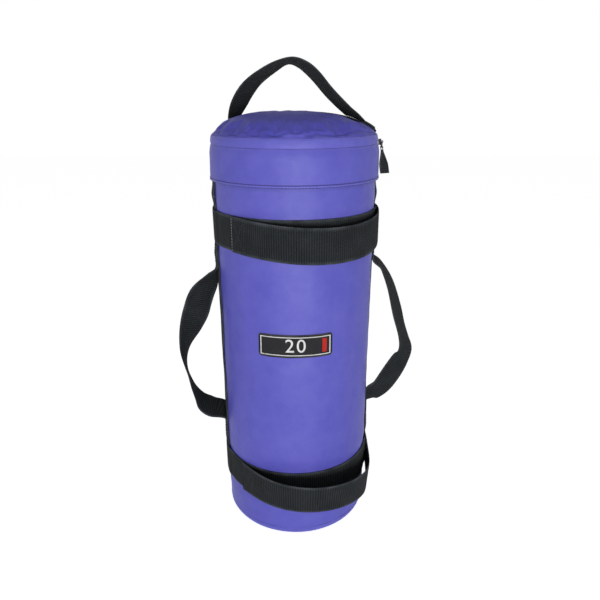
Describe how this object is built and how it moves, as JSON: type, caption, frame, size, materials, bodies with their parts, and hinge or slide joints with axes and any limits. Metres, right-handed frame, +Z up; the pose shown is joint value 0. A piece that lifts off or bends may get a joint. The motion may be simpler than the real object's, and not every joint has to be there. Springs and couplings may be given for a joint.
{
  "type": "fitness power bag",
  "caption": "Weighted cylindrical training bag: vinyl cover with a zip-open padded lid, webbing bands with hand grips, carry loops and sand pouches inside.",
  "frame": {"origin": "middle of the flat base, where the bag stands", "axes": "+Z up along the bag's axis, -Y towards the front, where the grips are, +X to the bag's right side as seen from the front"},
  "size_m": [0.3466, 0.2512, 0.6622],
  "materials": {
    "purple_vinyl": "satin",
    "black_webbing": "matte",
    "grey_foam": "matte",
    "grey_canvas": "matte",
    "sand": "matte",
    "black_zip_tape": "matte",
    "dark_metal": "satin",
    "black_nylon": "satin",
    "woven_patch": "matte"
  },
  "bodies": {
    "bag": {"base_panel": "purple_vinyl", "body_shell": "purple_vinyl", "collar": "purple_vinyl", "foam_base": "grey_foam", "foam_wall": "grey_foam", "lid_front": "purple_vinyl", "lid_front_foam": "grey_foam", "label_patch": "woven_patch", "upper_band": "black_webbing", "lower_band": "black_webbing", "side_strap_left": "black_webbing", "side_strap_right": "black_webbing", "zip_tape_lower": "black_zip_tape", "zip_coil_lower": "black_nylon", "zip_stop_left": "dark_metal", "zip_stop_right": "dark_metal", "upper_grip_left_foot": "black_webbing", "upper_grip_right_foot": "black_webbing", "lower_grip_left_foot": "black_webbing", "lower_grip_right_foot": "black_webbing", "side_handle_left_upper_foot": "black_webbing", "side_handle_left_lower_foot": "black_webbing", "side_handle_right_upper_foot": "black_webbing", "side_handle_right_lower_foot": "black_webbing", "sand_pouch_1": "grey_canvas", "sand_pouch_2": "grey_canvas", "sand_pouch_3": "grey_canvas", "sand_pouch_4": "grey_canvas", "sand_fill_1": "sand", "sand_fill_2": "sand", "sand_fill_3": "sand", "sand_fill_4": "sand", "pouch_tie_1": "black_webbing", "pouch_tie_2": "black_webbing", "pouch_tie_3": "black_webbing", "pouch_tie_4": "black_webbing"},
    "lid": {"lid_flap": "purple_vinyl", "lid_flap_foam": "grey_foam", "zip_tape_upper": "black_zip_tape", "zip_coil_upper": "black_nylon", "top_handle_base": "black_webbing", "top_handle_left_foot": "black_webbing", "top_handle_right_foot": "black_webbing"},
    "carry_loop": {"top_handle": "black_webbing"},
    "slider": {"zip_slider": "dark_metal"},
    "pull": {"zip_pull_link": "dark_metal", "zip_puller": "black_webbing"},
    "left_loop": {"side_handle_left": "black_webbing"},
    "right_loop": {"side_handle_right": "black_webbing"},
    "upper_hand_grip": {"upper_grip": "black_webbing"},
    "lower_hand_grip": {"lower_grip": "black_webbing"}
  },
  "joints": [
    {"name": "lid_fold", "type": "hinge", "parent": "bag", "child": "lid", "pos_m": [0, -0.02, 0.5925], "axis": [1, 0, 0], "range_deg": [0, 90]},
    {"name": "carry_loop_swing", "type": "hinge", "parent": "lid", "child": "carry_loop", "pos_m": [0.1055, 0, 0.577], "axis": [-0.9732, 0.2299, 0], "range_deg": [-20, 32], "deforming": ["top_handle_left_foot", "top_handle_right_foot"]},
    {"name": "zip_run", "type": "hinge", "parent": "bag", "child": "slider", "pos_m": [0, 0, 0.5562], "axis": [0, 0, 1], "range_deg": [0, 186]},
    {"name": "pull_swing", "type": "hinge", "parent": "slider", "child": "pull", "pos_m": [0.11624, -0.00609, 0.5562], "axis": [-0.0523, -0.9986, 0], "range_deg": [0, 100]},
    {"name": "left_loop_swing", "type": "hinge", "parent": "bag", "child": "left_loop", "pos_m": [-0.10893, -0.01531, 0.27], "axis": [0, 0, 1], "range_deg": [-40, 50], "deforming": ["side_handle_left_upper_foot", "side_handle_left_lower_foot"]},
    {"name": "right_loop_swing", "type": "hinge", "parent": "bag", "child": "right_loop", "pos_m": [0.10893, 0.01531, 0.27], "axis": [0, 0, 1], "range_deg": [-50, 50], "deforming": ["side_handle_right_upper_foot", "side_handle_right_lower_foot"]},
    {"name": "upper_grip_lift", "type": "hinge", "parent": "bag", "child": "upper_hand_grip", "pos_m": [0.0161, -0.04545, 0.447], "axis": [-0.9426, -0.3338, 0], "range_deg": [0, 15], "deforming": ["upper_grip_left_foot", "upper_grip_right_foot"]},
    {"name": "lower_grip_lift", "type": "hinge", "parent": "bag", "child": "lower_hand_grip", "pos_m": [0.0161, -0.04545, 0.086], "axis": [-0.9426, -0.3338, 0], "range_deg": [0, 15], "deforming": ["lower_grip_left_foot", "lower_grip_right_foot"]}
  ]
}
